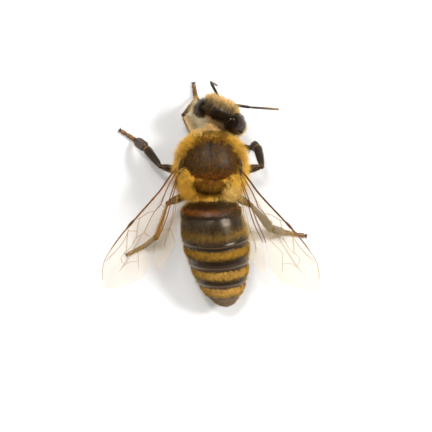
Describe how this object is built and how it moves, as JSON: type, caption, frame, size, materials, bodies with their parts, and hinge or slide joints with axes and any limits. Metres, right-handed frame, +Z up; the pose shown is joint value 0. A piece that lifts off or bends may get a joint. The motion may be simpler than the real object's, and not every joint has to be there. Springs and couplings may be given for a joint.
{
  "type": "honey bee",
  "caption": "Life-size still model of a worker honey bee, standing with its wings held out and its head turned, with a furry thorax and a banded abdomen.",
  "frame": {"origin": "centre of the bounding box's footprint, on the floor that the feet stand on", "axes": "+Z up; the bee faces -Y; its left side is +X; the tip of the abdomen is at +Y"},
  "size_m": [0.015, 0.0156, 0.0051],
  "materials": {
    "golden_coat": "dense golden hair over brown shell",
    "brown_coat": "short brown hair over near-black shell",
    "banded_coat": "glossy dark shell with bands of short yellow hair",
    "eye": "glossy near-black, finely faceted",
    "dark_shell": "glossy dark brown shell",
    "amber_shell": "glossy orange-brown shell",
    "wing_membrane": "clear membrane with a faint amber tint and brown veins"
  },
  "bodies": {
    "root": {"abdomen_1": "banded_coat", "abdomen_2": "banded_coat", "abdomen_3": "banded_coat", "abdomen_4": "banded_coat", "abdomen_5": "banded_coat", "abdomen_6": "banded_coat", "antenna_left_flagellum": "dark_shell", "antenna_left_scape": "dark_shell", "antenna_right_flagellum": "dark_shell", "antenna_right_scape": "dark_shell", "eye_left": "eye", "eye_right": "eye", "forewing_left": "wing_membrane", "forewing_right": "wing_membrane", "head": "brown_coat", "hindwing_left": "wing_membrane", "hindwing_right": "wing_membrane", "leg_fore_left_basitarsus": "dark_shell", "leg_fore_left_femur": "dark_shell", "leg_fore_left_tarsus": "amber_shell", "leg_fore_left_tibia": "dark_shell", "leg_fore_right_basitarsus": "dark_shell", "leg_fore_right_femur": "dark_shell", "leg_fore_right_tarsus": "amber_shell", "leg_fore_right_tibia": "dark_shell", "leg_hind_left_basitarsus": "dark_shell", "leg_hind_left_femur": "dark_shell", "leg_hind_left_tarsus": "amber_shell", "leg_hind_left_tibia": "dark_shell", "leg_hind_right_basitarsus": "dark_shell", "leg_hind_right_femur": "dark_shell", "leg_hind_right_tarsus": "amber_shell", "leg_hind_right_tibia": "dark_shell", "leg_mid_left_basitarsus": "dark_shell", "leg_mid_left_femur": "dark_shell", "leg_mid_left_tarsus": "amber_shell", "leg_mid_left_tibia": "dark_shell", "leg_mid_right_basitarsus": "dark_shell", "leg_mid_right_femur": "dark_shell", "leg_mid_right_tarsus": "amber_shell", "leg_mid_right_tibia": "dark_shell", "mandible_left": "amber_shell", "mandible_right": "amber_shell", "neck": "golden_coat", "proboscis": "amber_shell", "scutellum": "brown_coat", "tegula_left": "amber_shell", "tegula_right": "amber_shell", "thorax": "golden_coat"}
  },
  "joints": []
}
